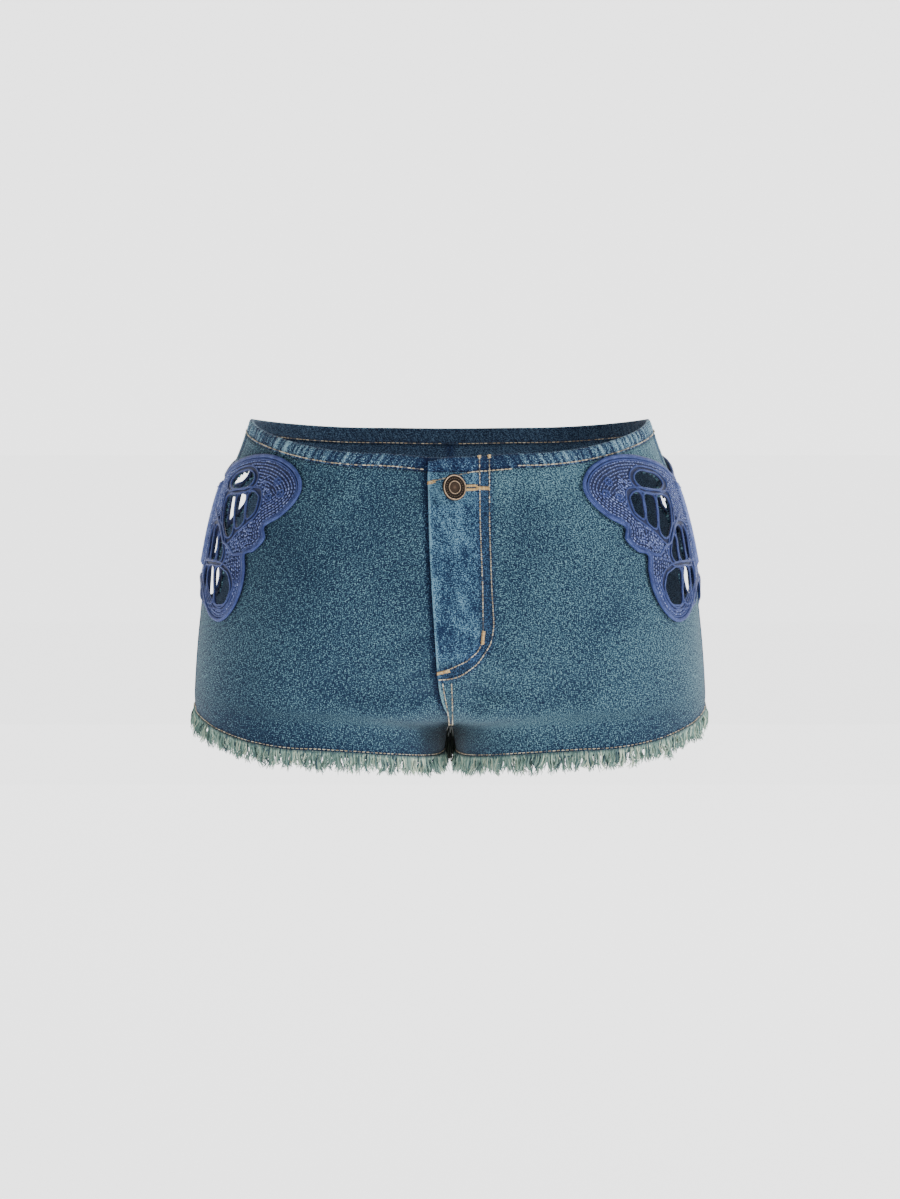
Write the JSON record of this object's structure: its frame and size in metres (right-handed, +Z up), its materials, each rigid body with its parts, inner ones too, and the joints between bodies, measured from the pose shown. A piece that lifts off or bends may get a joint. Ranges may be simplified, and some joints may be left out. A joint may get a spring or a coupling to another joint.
{
  "type": "denim shorts",
  "caption": "Low-rise denim hot shorts in their worn shape, with a button fly, an elasticated waist, frayed hems and an open-work butterfly on each side seam.",
  "frame": {"origin": "centre of the waist opening, 12 mm below the highest points of the waist edge", "axes": "+Z up, -Y the front, +X the wearer's left"},
  "size_m": [0.3614, 0.2333, 0.2472],
  "materials": {
    "denim": "faded mid-blue washed cotton denim, matt twill",
    "casing": "the same denim, gathered over elastic",
    "embroidery": "periwinkle and blue satin cord and seed stitch",
    "frayed_edge": "pale grey-green raw cotton threads",
    "antique_brass": "darkened antique brass, worn brighter on its rims"
  },
  "bodies": {
    "root": {"front_left": "denim", "front_right": "denim", "back_left": "denim", "back_right": "denim", "waist_casing_front_left": "casing", "waist_casing_front_right": "casing", "waist_casing_back": "casing", "butterfly_left": "embroidery", "butterfly_right": "embroidery", "fringe_left": "frayed_edge", "fringe_right": "frayed_edge", "button": "antique_brass", "button_tack": "antique_brass"}
  },
  "joints": []
}
